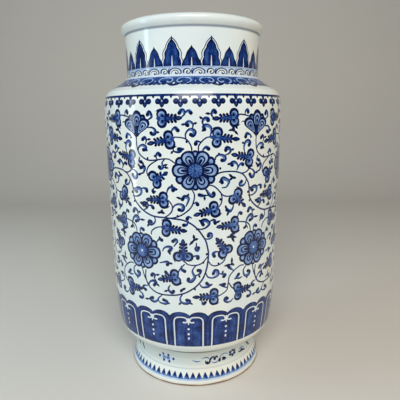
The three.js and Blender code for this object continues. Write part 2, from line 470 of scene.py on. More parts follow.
# Each tendril by the places that it runs through, and by the tips of its spurs
CURLS = (
    (((-26.5, 338), (-23, 342), (-23, 345), (-24.5, 348.5), (-25.7, 345)), ()),
    (((-25.5, 331), (-23, 331.5), (-21, 329), (-20.8, 325), (-22.5, 323.5), (-23.7, 325)),
     ((-18.7, 325.8),)),
    (((-7, 341), (-4.5, 345), (-4.6, 349), (-6, 350), (-7.3, 346.5)), ()),
    (((-4.8, 345), (-3.8, 348), (-2.5, 349), (-1.2, 346.5)), ()),
    (((-4, 319), (-4.3, 324), (-3, 328.5), (-1, 330), (1, 328), (1.2, 325), (0, 322), (-1.3, 323.5)),
     ()),
    (((-0.5, 330), (0, 335), (-2, 338), (-4, 335), (-3, 333.5)), ((-6.5, 334), (2, 336))),
    (((-12, 326), (-11.5, 329), (-10, 331.3), (-8.3, 328)), ()),
    (((-11, 310), (-11, 306), (-9.5, 304.5), (-7.5, 305), (-6.3, 308), (-8, 308)), ((-5, 308),
     (-12.5, 303))),
    (((4, 315.5), (2, 316.5), (1.2, 313.5)), ()),
    (((-27.5, 313.5), (-26.7, 317), (-27.5, 320.5), (-29.3, 318)), ((-24, 318.5),)),
    (((-33, 305), (-32, 310), (-29.5, 312.5), (-27.2, 310.5), (-27.5, 307), (-29, 306.5)),
     ((-26.2, 305.5),)),
    (((-20.5, 296.5), (-21.5, 300), (-20, 303.5), (-18.7, 301)), ((-22.5, 300),)),
    (((-16, 297), (-17.5, 293), (-17, 288), (-18.5, 286), (-19.3, 288)), ((-14.5, 291), (-14, 287))),
    (((-33, 279), (-30, 280), (-28.5, 284), (-28.7, 288), (-31.5, 286)), ((-30, 293), (-33.5, 290.5))),
    (((9, 321), (9.7, 325), (10, 328), (9.5, 332), (7.5, 334.3), (5.5, 333), (6, 329)), ((4.5, 327),)),
    (((6, 334), (5, 335), (4.8, 338), (6, 341), (8, 340.5), (8, 338.5)), ((3.3, 342.5),)),
    (((11.4, 341), (10, 343), (9.8, 346), (11, 349.5), (12, 347)), ((6.5, 346),)),
    (((30, 345), (30, 348), (31.5, 349.8), (32, 347)), ()),
    (((24, 333.5), (22.5, 331), (22.5, 328)), ((19.5, 327.5), (25, 329), (25.5, 322.5))),
    (((5, 304.5), (5.3, 308), (6.8, 310), (8.2, 308)), ()),
    (((17.5, 300.5), (20, 302), (21.2, 305), (20.5, 308), (18.5, 309.3), (18, 306)), ((23, 307),)),
    (((12, 296), (12.2, 299), (14, 301.5), (16.5, 301), (18, 298), (17.5, 295), (15.8, 295)),
     ((14, 303.5),)),
    (((30, 303), (29.3, 308), (30, 314), (32, 316.5), (34, 314), (33, 310.5)), ((28, 314),)),
    (((34, 319), (34, 322), (31.5, 324), (30.5, 320)), ((35, 319.5),)),
    (((25, 283), (25.8, 287), (25, 291), (23, 293), (21, 291), (22, 289)), ((19, 290),)),
    (((26, 286), (26.6, 289), (28, 290), (29, 289)), ()),
    (((34, 283.5), (36, 282.5), (38, 279), (37.5, 274), (35.5, 273), (34.2, 277)), ((40.5, 278),)),
    (((40, 298), (39.5, 294), (41, 292.5)), ()),
    (((16, 264), (18.5, 264.5), (20, 268), (20.3, 272), (17, 276), (15.5, 274), (16, 270)),
     ((14, 270.5),)),
    (((31.5, 271), (31, 267), (29.5, 264.5), (27.5, 264.5), (27, 267), (28.3, 269.5)), ()),
    (((-38.5, 252.5), (-35.5, 252), (-32.5, 254.5), (-31.3, 259), (-32.5, 262.8), (-35.5, 262.3),
     (-36.8, 259), (-35.4, 257.8)), ((-38, 262),)),
    (((-31.6, 262), (-30, 263), (-28, 262), (-28, 259.5)), ()),
    (((-30.5, 237), (-28.2, 239.5), (-27.3, 243), (-28.5, 246), (-30.8, 245.8), (-30.6, 242.6)),
     ((-33, 245.5),)),
    (((-27.4, 242.8), (-25.5, 243.4), (-24.2, 240.5)), ()),
    (((-15.5, 258), (-15, 262.5), (-13.5, 266), (-10.5, 264), (-11.8, 262)), ((-12, 269), (-9, 263))),
    (((-23, 264), (-24, 261.5), (-23.6, 259)), ((-22, 260),)),
    (((-12.3, 241), (-11, 245), (-8.5, 247), (-6, 245.5), (-5.5, 242), (-6.5, 239), (-8.5, 240)), ()),
    (((-4.6, 244), (-3, 250), (-2.8, 254), (-5, 256), (-6.5, 252)), ((-10, 254.5), (-3, 258.6))),
    (((0, 247), (1, 248.5), (2, 246)), ()),
    (((-3.4, 227), (-4, 223), (-6, 222)), ()),
    (((-1.5, 230.5), (-3, 232), (-4, 229.5)), ()),
    (((-24, 231), (-22.9, 227), (-23.6, 222.6), (-26, 220.2), (-27.8, 222.2), (-27, 225),
     (-25.8, 223.8)), ((-28.5, 217.5),)),
    (((33.5, 213), (32, 218), (32.5, 224), (34.5, 229), (37, 228.5), (37.5, 224), (35, 222)),
     ((42, 225),)),
    (((36.6, 229), (37, 232), (36.5, 236), (34.5, 237.5), (33.5, 233.5)), ((39, 234),)),
    (((38, 209), (38, 213), (39, 214.5), (40.5, 213)), ()),
    (((-22.5, 200.5), (-21, 204), (-19.3, 203)), ((-20.5, 207.5),)),
    (((-12, 196.5), (-9.8, 202), (-10.5, 205), (-12.5, 202.5)), ()),
    (((1, 201), (1, 197), (0.3, 194), (1.5, 191.5), (2.2, 195)), ()),
    (((3, 265), (5, 265.5), (6.5, 263), (7.5, 259), (8.5, 256), (10.5, 254), (11.5, 256.5),
     (11, 258.5)), ()),
    (((8.3, 256.4), (5, 256), (3, 257)), ((6, 250.5),)),
    (((2, 218), (4, 217), (7, 219), (9, 224), (6.5, 229), (4, 227), (5, 222.5)), ((2.5, 227.5),)),
    (((8.6, 226), (11, 228), (12, 223.5)), ((15, 226),)),
    (((6, 206), (8, 205), (10, 207), (10, 211), (8.5, 212), (8, 209)), ()),
    (((26, 229), (27, 233), (28.5, 232)), ()),
    (((23, 244), (23, 240), (21.5, 236), (19, 238)), ((18, 243.5), (19, 231))),
    (((26.4, 211), (23.5, 209), (22, 207)), ()),
    (((-19, 190), (-18, 194), (-15.5, 196.5), (-13.2, 195), (-15, 190)), ((-14.3, 186),)),
    (((-21, 175), (-17, 177.5), (-15.5, 176), (-16.3, 173.5)), ((-13, 175),)),
    (((-1.5, 184), (0, 185.5), (2, 185), (1.8, 182.5)), ()),
    (((-6.5, 173.5), (-8, 172), (-7.8, 169), (-6, 166.5)), ()),
    (((-14, 159), (-16.5, 162), (-17.5, 164)), ()),
    (((-15, 148), (-16.3, 144), (-16, 140.5), (-14, 138), (-13, 140.5)), ((-19, 139),)),
    (((-24, 151), (-25, 154.5), (-24.5, 158.5), (-26, 160), (-27, 157.5)), ((-21.5, 160),)),
    (((-29.5, 144), (-28.5, 149), (-26, 151.8), (-23.8, 150), (-25.5, 145.5)), ((-22, 144.5),)),
    (((-30.5, 143), (-33, 142.5), (-34.3, 139.5), (-32, 137)), ()),
    (((-20.5, 134), (-22.5, 130), (-23.5, 126), (-25.5, 123), (-28, 124), (-29, 126.5),
     (-27, 128.5)), ((-33, 124.5),)),
    (((-23, 127), (-22.6, 124.6), (-21, 123), (-18, 122.5), (-17, 126), (-19.5, 128)), ((-15.5, 124),)),
    (((-7.5, 137), (-9, 133), (-9, 128), (-7, 125), (-4, 125.5), (-3, 129), (-5, 130)),
     ((-10, 123.5), (-1.5, 124.5))),
    (((1, 174), (-0.5, 171), (-1.3, 167), (-0.5, 163), (0.5, 160), (-0.3, 156), (-2, 153), (-4, 154),
     (-3.8, 157)), ()),
    (((0.2, 161), (3, 163), (3.5, 167), (2, 167.5)), ((3, 158.5),)),
    (((15, 189), (12, 189.5), (10.7, 187), (11.5, 184)), ()),
    (((24, 163), (22, 166), (20.5, 169)), ()),
    (((6.7, 163), (7.5, 159), (10, 157), (12.5, 158), (14.3, 161), (14, 165.5), (12, 167),
     (11, 162.5)), ()),
    (((14.4, 162), (16.5, 161), (18.5, 160), (17.5, 157.5)), ((17, 165),)),
    (((3, 150), (4, 146.5), (6, 145.5), (8.5, 147), (7, 151)), ((10.5, 149.5),)),
    (((20, 142.5), (18, 144), (16, 147), (18, 147.5)), ((14.5, 148),)),
    (((4, 129), (4.3, 125), (5, 124.5), (6, 126.5)), ()),
    (((34.5, 132.5), (37, 131), (38, 127), (36.5, 124.5), (35, 125)), ()),
    (((24, 127), (22, 123.5), (19.5, 123.5), (18, 127), (19, 130), (20, 128.5)), ()),
    (((30, 153), (28, 151.5), (26, 153), (27.5, 157)), ((24.5, 152),)),
    (((33, 166), (31, 162), (31, 156), (33, 152), (35.5, 153), (36.3, 157), (34.5, 158.5)),
     ((34, 149),)),
)

# Each sprig by its heart and its tips
SPRIGS = (
    ((22.4, 275), ((20, 279), (24.6, 274), (20.4, 272))),
    ((-19, 236.4), ((-21.6, 235), (-17, 235), (-18.4, 239.4))),
    ((0, 205), ((-0.6, 211), (2.2, 206), (-3, 198.5))),
    ((22, 205.6), ((19, 205.5), (25.4, 204), (24, 198.6))),
    ((31.5, 214.5), ((32.6, 217), (30, 213))),
    ((22.6, 171.6), ((17.6, 170.5), (22.6, 180), (24.4, 170))),
    ((42, 242.5), ((38.6, 245.5), (44.5, 247.5), (44, 240))),
    ((-8, 142.5), ((-5.6, 145.6), (-8.8, 140))),
)


def flat(points):
    """Places on the body, laid out in millimetres."""
    return np.asarray(points, float) * (ROUND_BODY, 1)


def scroll_unit():
    """One repeat of the lotus scroll, in millimetres."""
    shapes = [stroke(LINE, flat(LONG_STEM), (1.7, 2.1, 2, 2.1, 1.8))]
    shapes += [stroke(LINE, flat(stem), (1.5, 1.8, 1.5)) for stem in STEMS]
    shapes += [(DARK, disc(flat(thorn), 1.3, 1.7, 8)) for thorn in THORNS]
    for points, tips in CURLS:
        shapes += curl(flat(points), [flat(tip) for tip in tips])
    for heart, tips in SPRIGS:
        shapes += sprig(flat(heart), flat(tips))
    for places in LEAVES:
        shapes += leaf(*flat(places))
    shapes += moved(bud(), flat(BUD))
    shapes += moved(flower(BLUE, PETAL), flat(UPPER_FLOWER))
    shapes += moved(flower(GLAZE, DEEP_PETAL), flat(LOWER_FLOWER))
    return shapes


def swayed(outline):
    """The outline a little out of place towards the back, as a painter's hand would put it."""
    most_degrees, most_millimetres = 0.45, 0.9
    angle, height = np.radians(outline[:, 0]), outline[:, 1]
    share = (1 - np.cos(angle)) / 2
    sideways = most_degrees * share * np.sin(3 * angle + height / 17)
    upwards = most_millimetres * share * np.sin(2 * angle + height / 31)
    return outline + np.stack([sideways, upwards], 1)


def repeated(shapes, count, wide, start=0):
    """Copies of shapes drawn in millimetres, spread round the vase and given in degrees."""
    copies = []
    for index in range(count):
        shift = (start + index * 360 / count, 0)
        copies += [(tone, swayed(outline / (wide, 1) + shift)) for tone, outline in shapes]
    return copies


def band(tone, low, high):
    """A plain band all round between two heights, with its ends past the layout's."""
    return (tone, straight((-200, low), (200, low), (200, high), (-200, high)))


def lotus_scroll():
    return repeated(scroll_unit(), REPEATS, ROUND_BODY)


# The borders

def both_sides(points, wide=1):
    """The same places to the right and to the left of a motif's middle, wide millimetres a unit."""
    return [np.array(points, float) * (side * wide, 1) for side in (1, -1)]


def pendants():
    """A dark line with three-lobed pendants, and a short tooth between each two."""
    middle = 358.9
    half_way = 10.25
    point = [
        (-2.8, 358), (-2.9, 355.6), (-1.6, 353.4), (0, 352.2), (1.6, 353.4), (2.9, 355.6), (2.8, 358),
        (0, 360),
    ]
    stem = straight((-3.4, 365), (-2, 363), (-1.7, 358), (1.7, 358), (2, 363), (3.4, 365))
    one = [(DARK, loop(point)), (LINE, stem), (DARK, disc((0, middle), 4.2, 2.4, 20))]
    for side in (1, -1):
        one.append((DARK, disc((side * 4.7, middle), 3.4, 3.2, 16)))
        one.append((COBALT, disc((side * 5.2, middle + 0.4), 1.5, 1.4, 12)))
    one.append((BLUE, disc((0, 355.7), 1.2, 1.5, 12)))
    one.append((PALE, disc((0, middle + 0.4), 0.9, 1.2, 12)))
    one.append((DARK, disc((half_way, 364.2), 1.4, 2, 10)))
    return [band(LINE, 364.3, 366.8)] + repeated(one, 35, ROUND_BODY, start=3.6)


# How many lappets stand round the bottom, the middle of one in degrees and the height of their feet
LAPPETS = 15
LAPPET_MIDDLE = -4.3
LAPPET_FOOT = 66.2
ROUND_LAPPETS = ROUND_BODY * 0.955


def lappet():
    """An arched panel under two lobes, with a white line that curls in as a ruyi, and three dots."""
    edge = [
        (9.2, LAPPET_FOOT + 0.9), (9.1, 80), (9.1, 95), (9, 101.6), (8.3, 105), (6.6, 106.9),
        (3.8, 107.2),
    ]
    hook = [(1.8, 106.3), (0.9, 104), (0.8, 101.6), (1.8, 100.2), (3, 100.4)]
    shapes = []
    for place, half_width in ((-5.2, 6.8), (6.2, 6.2)):
        centre = (place * ROUND_LAPPETS, 105.6)
        shapes.append((LINE, disc(centre, half_width * ROUND_LAPPETS, 8.6, 32)))
        shapes.append((COBALT, disc(centre, half_width * ROUND_LAPPETS - 1.4, 7.2, 32)))
    for points in both_sides(edge + hook[:2], ROUND_LAPPETS):
        line = smooth(points)
        shapes.append((LINE, ribbon(line[3:], (5.6, 5.6, 5.2, 5.6))))
        shapes.append((COBALT, np.vstack([line, [(0, 104), (0, LAPPET_FOOT)]])))
    for points in both_sides([(4.9, 99), (5.2, 86), (5, 71)], ROUND_LAPPETS):
        shapes.append(stroke(BLUE, points, (6, 9, 8)))
    for points in both_sides(edge, ROUND_LAPPETS):
        line = smooth(points * (0.87, 1) - (0, 0.6))
        shapes.append((LINE, ribbon(line[2:-3], (1, 1.5, 1.8, 1.8))))
    shapes.append((LINE, ribbon([(0, 105), (0, 98), (0, 92)], (6, 3.6, 1.6))))
    for points in both_sides([(2.8, 103.4)], ROUND_LAPPETS):
        shapes.append((COBALT, disc(points[0], 2.2)))
    for points in both_sides(edge + hook, ROUND_LAPPETS):
        shapes.append(stroke(WHITE_LINE, points, (1.8, 1.7, 1.6, 1.6, 1.8), 1))
        shapes.append((WHITE_LINE, disc(points[-1], 1.3, 1.1, 10)))
    shapes.append((WHITE_LINE, ribbon([(0, 105), (0, 101), (0, 97.6)], (2.8, 2.6, 1))))
    for height, half_width, half_height in ((91.3, 1.5, 1.4), (84.3, 1.4, 1.6), (78.2, 1.1, 1.9)):
        shapes.append((WHITE_LINE, disc((0, height), half_width, half_height, 12)))
    return shapes


def lappet_band():
    """The panels side by side on a dark band, with a blue stroke up the gap between each two."""
    gap = LAPPET_MIDDLE + 180 / LAPPETS
    column = [
        (LINE, straight((-4, LAPPET_FOOT), (4, LAPPET_FOOT), (4, 109), (-4, 109))),
        (BLUE, ribbon([(0, 104), (0, 90), (0, LAPPET_FOOT + 1.4)], (1.6, 2.4, 2.8))),
    ]
    return (
        [band(DARK, LAPPET_FOOT, 106)]
        + repeated(column, LAPPETS, ROUND_LAPPETS, gap)
        + repeated(lappet(), LAPPETS, ROUND_LAPPETS, LAPPET_MIDDLE)
    )


def shoulder_band():
    """A blue band on the slope, scalloped below, with pale curls and dots."""
    repeats = 13
    scallop_middle = -12
    curl_middle = scallop_middle + 180 / repeats
    drop = [(WHITE_LINE, disc((0, 378.6), 1.1, 1.2, 12))]
    return (
        repeated(small_scallops(), repeats, ROUND_SHOULDER, curl_middle)
        + repeated(large_scallop(), repeats, ROUND_SHOULDER, scallop_middle)
        + [band(COBALT, 379.4, 382), band(BLUE, 381.4, 384.6), band(INNER_WASH, 384.2, 386.4)]
        + repeated(drop, repeats, ROUND_SHOULDER, scallop_middle)
        + repeated(shoulder_curls(), repeats, ROUND_SHOULDER, curl_middle)
    )


def large_scallop():
    outer = [(-8.2, 380.6), (-7, 377.8), (-4, 376), (0, 375.2), (4, 376), (7, 377.8), (8.2, 380.6)]
    inner = [(-5.6, 380.4), (-4, 378), (0, 376.8), (4, 378), (5.6, 380.4)]
    return [(DARK, loop(outer)), (COBALT, loop(inner))]


def small_scallops():
    shapes = []
    for place in (-13, -7.8, -2.6, 2.6, 7.8, 13):
        shapes.append((LINE, disc((place, 378.7), 3.1, 2.1, 16)))
        shapes.append((COBALT, disc((place, 379.2), 2.3, 1.9, 16)))
    return shapes


def shoulder_curls():
    """Two pale curls that roll towards each other over a dot, each under a thin stroke."""
    arc = [
        (3.8, 378.9), (6.9, 380.3), (7.9, 382.2), (6.4, 384), (3, 384.9), (-1.5, 385.1), (-5.4, 384.4),
        (-7.5, 382.8), (-7.3, 380.9), (-4.9, 379.7), (-2.2, 380.6),
    ]
    stem = [(2.6, 384.6), (3, 382.4), (4.4, 380.6)]
    distance = 12.6
    shapes = [(PALE, disc((0, 381.2), 0.7, 1, 10))]
    for side in (-1, 1):
        line = smooth((straight(*arc) - (distance, 0)) * (-side, 1), 0.8)
        hollow = line[len(line) // 2:] + (side * -1.6, 0)
        shapes.append((LINE, ribbon(hollow, (1, 2, 2.6, 2))))
        shapes.append((WASH, ribbon(line, (1, 1.6, 1.9, 1.9, 1.4))))
        shapes.append((PALE, ribbon(line, (0.8, 1.1, 0.6, 0.7, 1.2, 1.2))))
        shapes.append(stroke(WASH, straight(*stem) * (side, 1), (0.5, 0.9, 0.4)))
    return shapes


def rolling_scroll():
    """A band of rolling curls at the foot of the neck, a large one and a small one by turns."""
    arch = [
        (-8, 390), (-7.2, 392.6), (-4.6, 394.8), (-1, 395.6), (3, 394.8), (5.6, 392.8), (6, 390.6),
        (4.6, 389.6),
    ]
    inside = [
        (-5.4, 389.9), (-4.4, 392), (-1.6, 393.4), (1.6, 392.9), (3, 391.2), (2, 389.8), (0, 389.9),
        (-0.2, 391),
    ]
    small = [
        (9, 391), (9.4, 393.4), (12, 395), (15.2, 394.4), (16.6, 392.2), (15.4, 390), (12.8, 389.9),
        (12.2, 391.6), (13.6, 392.4),
    ]
    hook = [(19.2, 389.8), (18, 391.4), (18.2, 393.8), (19.8, 395.4)]
    shapes = [
        (GLAZE, smooth(arch)),
        (GLAZE, disc((12.8, 392.2), 3.6, 2.8, 16)),
        stroke(LINE, arch, (2, 1.6, 1.1, 1.1, 1.5, 1.2), 0.8),
        stroke(LINE, inside, (0.6, 0.9, 1, 1.5), 0.6),
        stroke(DARK, small, (1.8, 1.3, 0.9, 1.1, 1.4), 0.6),
        stroke(LINE, hook, (1.6, 1.3, 0.7), 0.6),
    ]
    bands = [band(FAINT, 386.4, 396.4), band(PALE, 396.2, 398), band(WHITE_LINE, 387.2, 388.9)]
    return bands + repeated(shapes, 20, ROUND_NECK, start=5.2)


# Height of the line that the plantain leaves stand on
PLANTAIN_FOOT = 398


def leaf_sides(body, inside):
    """Both halves of a plantain leaf: its dark edge down to its foot, and the blue inside it."""
    shapes = [(DARK, np.vstack([smooth(half), [(0, PLANTAIN_FOOT)]])) for half in both_sides(body)]
    return shapes + [(COBALT, loop(half)) for half in both_sides(inside)]


def tall_leaf():
    """A lobed plantain leaf with a thin outline, a dark edge, a blue inside and a pale slit."""
    line = [
        (11.8, 398), (12.5, 401), (12, 404.8), (10.5, 407.2), (11, 409.8), (10.8, 412.4), (9.6, 415),
        (8, 416.8), (7.1, 419.4), (5.4, 422.8), (3, 425.8), (0.4, 428),
    ]
    body = [
        (10.4, 398), (10.7, 401), (10.1, 404.6), (8.8, 407), (9, 409.2), (9, 411.6), (7.9, 414.6),
        (6.2, 416.8), (5.6, 419.4), (4.1, 422.4), (2, 425), (0, 427),
    ]
    inside = [
        (9.2, 399.6), (9.5, 402), (8.6, 405.6), (7.2, 408), (7.5, 411), (6.2, 414.4), (4.8, 416.8),
        (3.8, 420), (2, 422.6), (0, 423), (0, 416), (0, 410), (1.4, 405), (1.6, 399.6),
    ]
    rib = [(5.4, 400), (5.4, 407), (3.6, 415)]
    shapes = [stroke(LINE, half, (0.8, 1, 1, 1.1)) for half in both_sides(line)]
    shapes += leaf_sides(body, inside)
    shapes += [stroke(BLUE, half, (2.4, 2.8, 1)) for half in both_sides(rib)]
    shapes.append((DARK, ribbon([(0, 424.6), (0, 427), (0, 429.8)], (2.4, 1.6, 0.7))))
    shapes.append((WHITE_LINE, ribbon([(0, 398.4), (0, 403), (0, 409)], (1.7, 1.3, 0.4))))
    return shapes


def short_leaf():
    """The plain plantain leaf that stands between two tall ones."""
    body = [
        (11.4, 398), (11, 400.6), (9.4, 403.8), (7.6, 406.6), (6.5, 409.6), (5.3, 412.6), (3.4, 415.4),
        (1.4, 417.4), (0, 420),
    ]
    inside = [
        (9.8, 399.6), (8.8, 402.2), (6.6, 405.8), (5.2, 409.4), (3.8, 412.6), (1.8, 415), (0, 415),
        (0, 409), (1.4, 405), (1.6, 399.6),
    ]
    shapes = leaf_sides(body, inside)
    shapes += [(BLUE, ribbon(half, (1.8, 0.6))) for half in both_sides([(4.8, 400), (3.8, 406)])]
    shapes.append((WHITE_LINE, ribbon([(0, 398.4), (0, 402), (0, 407)], (1.5, 1.2, 0.4))))
    return shapes


def plantain_leaves():
    """Twelve short leaves, and a tall one in front of each gap."""
    count = 12
    short_middle = -0.6
    tall_middle = short_middle + 180 / count
    short = repeated(short_leaf(), count, ROUND_NECK, short_middle)
    return short + repeated(tall_leaf(), count, ROUND_NECK, tall_middle)


def teeth():
    """A row of pointed teeth, dark above and fading out below, under a faint dotted line."""
    outline = [(-4, 8.8), (-3.4, 10.4), (-2.1, 13.2), (0, 17.2), (2.1, 13.2), (3.4, 10.4), (4, 8.8)]
    tooth = [
        (WASH, straight(*outline)),
        (BLUE, straight((-2.7, 11.2), (-1.9, 13.4), (0, 17.2), (1.9, 13.4), (2.7, 11.2), (0, 10.4))),
        (LINE, straight((-2, 12.6), (-1.5, 13.8), (0, 17.2), (1.5, 13.8), (2, 12.6), (0, 12))),
        (DARK, straight((-1.1, 13.8), (0, 17), (1.1, 13.8))),
    ]
    dot = [(FAINT, disc((0, 21.2), 0.5, 0.6, 8))]
    # The foot is wider at the teeth and at the dots than at its waist
    round_teeth = ROUND_FOOT * 1.08
    round_dots = ROUND_FOOT * 1.04
    return (
        [band(WHITE_LINE, 5.8, 7), band(FAINT, 6.6, 8.2), band(PALE, 7.8, 9.9)]
        + repeated(tooth, 69, round_teeth, start=2.6)
        + repeated(dot, 210, round_dots)
    )


def floret():
    """A faint floret of six small petals round two eyes."""
    shapes = [(FAINT, disc((0.6, 31.2), 8.4, 4.4, 18))]
    for centre in ((-9.9, 31.3), (-4.4, 35.4), (3.6, 35.4), (10.9, 31.3), (5.1, 27), (-2.9, 27.3)):
        shapes.append((WASH, disc(centre, 1.8, 2.1, 12)))
        shapes.append((LINE, disc(centre, 1.2, 1.5, 10)))
    for x, z in ((-2.8, 31), (3.1, 31.5)):
        shapes.append((INNER_WASH, disc((x, z), 2.6, 2.5, 14)))
        shapes.append((PALE, disc((x, z), 1.8, 1.8, 14)))
        shapes.append((BLUE, disc((x, z - 0.2), 0.9, 1.1, 10)))
    return shapes


# A spray on the foot, in degrees round and millimetres up: its faint and dark strokes, its leaves and
# the middle of its blossom
FAINT_SPRAY_STROKES = (
    ((-3, 32), (-1, 30.6), (1.6, 30), (4, 30.6)),
    ((5.6, 33.8), (8, 35), (10.8, 34.6), (12.6, 32)),
    ((14.4, 28.4), (16, 26.6), (18.6, 26.6), (20.6, 28.4)),
    ((22.4, 32.6), (24.4, 35), (27.8, 35.8), (31, 33.6)),
    ((44, 31), (46.6, 33.6), (50, 32.6), (52.4, 29.6)),
)
SPRAY_STROKES = (
    ((8.8, 30.4), (8.8, 27.8), (10.4, 26.4), (12.2, 28), (13.2, 31.8), (15, 34.4), (17, 34.2),
     (17.4, 31.8)),
    ((17.4, 33.4), (19, 34.6), (19.8, 32.6)),
    ((21.2, 27), (21.8, 29.6), (22.8, 31.6)),
    ((24.8, 27.2), (25.4, 30.6), (28.6, 28.4)),
    ((43.8, 29), (47, 28.4), (50.4, 28.6), (53, 26.6)),
    ((56, 35), (58.4, 33.4), (61, 29.6), (63, 27.6)),
)
SPRAY_LEAVES = ((10.2, 27.6), (17.2, 31.8), (21.8, 28.4), (26.6, 28.8), (48, 30), (59.4, 32))
SPRAY_BLOSSOM = (35.8, 33)


def spray():
    """A trailing spray with curling strokes, small leaves and a six-petalled blossom."""
    wide = np.array((ROUND_FOOT, 1))
    shapes = [stroke(WASH, points * wide, (0.8, 1.7, 0.9), 1) for points in FAINT_SPRAY_STROKES]
    shapes += [stroke(DARK, points * wide, (1.4, 2.4, 2.6, 1.4), 1) for points in SPRAY_STROKES]
    shapes += [(DARK, disc(place * wide, 2, 2.2, 12)) for place in SPRAY_LEAVES]
    heart = SPRAY_BLOSSOM * wide
    for angle in range(30, 390, 60):
        shapes.append((DARK, turned(petal(1.8, 6.4, 4.4, 14), angle) * (1, 0.86) + heart))
    shapes.append((LINE, disc(heart, 3.2, 2.8, 16)))
    shapes.append((FAINT, disc(heart, 1.9, 1.7, 12)))
    return shapes


def foot_sprays():
    """Three small florets and three trailing sprays round the foot."""
    return repeated(floret(), 3, ROUND_FOOT, start=-28) + repeated(spray(), 3, ROUND_FOOT)


def painting():
    """Every painted shape, from the bottom layer up."""
    return (
        teeth()
        + foot_sprays()
        + lappet_band()
        + lotus_scroll()
        + pendants()
        + shoulder_band()
        + rolling_scroll()
        + plantain_leaves()
    )


# The clay: outlines in radius and height, each a list of smooth stretches

def foot_outside():
    edge = foot_edge_radius
    waist = (foot_waist_radius, foot_waist_height)
    top = (foot_top_radius, foot_top)
    slope = straight(waist, top)
    shares = [(height - waist[1]) / (top[1] - waist[1]) for height in foot_groove_heights]
    groove_start, groove_end = [between(slope[0], slope[1], share) for share in shares]
    deep = (foot_groove_depth, 0)
    return [
        straight((edge - foot_bevel, 0), (edge, foot_bevel)),
        bend((edge, foot_bevel), (edge - 1.2, waist[1] * 0.25), (waist[0], waist[1] * 0.6), waist),
        straight(waist, groove_start),
        bend(groove_start, groove_start - deep, groove_end - deep, groove_end, 8),
        straight(groove_end, top),
    ]


def lower_outside():
    turn = (body_radius - underside_taper, foot_top + underside_height)
    end = (lower_joint_radius, lower_joint)
    return [
        bend(
            (foot_top_radius, foot_top),
            (between(foot_top_radius, turn[0], 0.5), foot_top + underside_height * 0.2),
            (turn[0] - 2, turn[1] - underside_height * 0.5),
            turn,
        ),
        bend(
            turn,
            (turn[0] + 4, between(turn[1], end[1], 0.28)),
            (end[0] - 1, between(turn[1], end[1], 0.62)),
            end,
        ),
    ]


def ring_outside(start_radius, low, end_radius, high):
    return [bend(
        (start_radius, low),
        (between(start_radius, end_radius, 0.6), between(low, high, 0.3)),
        (end_radius, between(low, high, 0.6)),
        (end_radius, high),
    )]


def shoulder_outside():
    corner = (body_radius - shoulder_round, upper_joint + shoulder_corner_height)
    start = (body_radius, upper_joint)
    end = (neck_radius, neck_joint)
    return [
        bend(
            start,
            (start[0], between(start[1], corner[1], 0.55)),
            (between(start[0], corner[0], 0.3), between(start[1], corner[1], 0.8)),
            corner,
        ),
        bend(
            corner,
            (between(corner[0], end[0], 0.26), between(corner[1], end[1], 0.26)),
            (between(corner[0], end[0], 0.86), between(corner[1], end[1], 0.68)),
            end,
        ),
    ]


def neck_outside():
    return [bend(
        (neck_radius, neck_joint),
        (neck_radius - 0.4, between(neck_joint, lip_joint, 0.4)),
        (neck_radius, between(neck_joint, lip_joint, 0.6)),
        (lip_joint_radius, lip_joint),
    )]


def lip_outside():
    start = (lip_joint_radius, lip_joint)
    widest = (lip_radius, lip_joint + lip_widest_height)
    top = (lip_joint_radius - neck_wall * 0.6, overall_height)
    inner = (lip_joint_radius - neck_wall, between(lip_joint, overall_height, 0.75))
    return [
        bend(
            start,
            (start[0] + 1, between(start[1], widest[1], 0.25)),
            (widest[0], between(start[1], widest[1], 0.5)),
            widest,
        ),
        bend(
            widest,
            (widest[0], between(widest[1], top[1], 0.65)),
            (between(top[0], widest[0], 0.45), top[1]),
            top,
        ),
        bend(
            top,
            (between(top[0], inner[0], 0.8), top[1]),
            (inner[0], between(inner[1], top[1], 0.6)),
            inner,
        ),
    ]


def slip_roll(joint, up):
    """The roll of slip left inside a joint, from the joint out along the wall above or below it."""
    side = 1 if up else -1
    crest = joint - (slip_roll_depth, 0)
    end = joint + (0, slip_roll_height * side)
    return bend(crest, crest + (0, 2 * side), joint + (0, 3 * side), end, 6)


def inside_of(stretches, wall_below, wall_above, roll_below=True, roll_above=True):
    """The inner wall, from the top down, with the rolls of slip left at the luted joints."""
    outside = np.vstack(stretches)
    wall = np.linspace(wall_below, wall_above, len(outside))[:, None]
    along = np.gradient(outside, axis=0)
    along /= np.maximum(np.linalg.norm(along, axis=1, keepdims=True), 1e-9)
    inner = outside + np.stack([-along[:, 1], along[:, 0]], 1) * wall
    low, high = outside[0] - (wall_below, 0), outside[-1] - (wall_above, 0)
    roll_room = slip_roll_height * 1.5
    plain_room = 2
    clear = inner[:, 1] > low[1] + (roll_room if roll_below else plain_room)
    clear &= inner[:, 1] < high[1] - (roll_room if roll_above else plain_room)
    clear[[0, -1]] = False
    start = slip_roll(low, up=True) if roll_below else low
    end = slip_roll(high, up=False)[::-1] if roll_above else high
    return [np.vstack([start, inner[clear], end])[::-1]]


def foot_inside():
    pocket = foot_top_radius - body_wall
    ledge = pocket - floor_ledge_width
    rim = foot_edge_radius - foot_bevel - foot_rim_width
    return [
        straight((pocket, foot_top), (pocket, floor_seat)),
        straight((pocket, floor_seat), (ledge, floor_seat)),
        straight((ledge, floor_seat), (ledge, floor_seat * 0.4)),
        straight((ledge, floor_seat * 0.4), (rim, 0)),
    ]


def floor_outline():
    return [
        straight((0, floor_seat), (floor_radius, floor_seat)),
        straight((floor_radius, floor_seat), (floor_radius, foot_top)),
        straight((floor_radius, foot_top), (0, foot_top)),
    ]


# How fine the skins are: millimetres along a wall, degrees of bend, and steps round
ROW_STEP = 7
ROW_TURN = 7
COLUMNS = 128


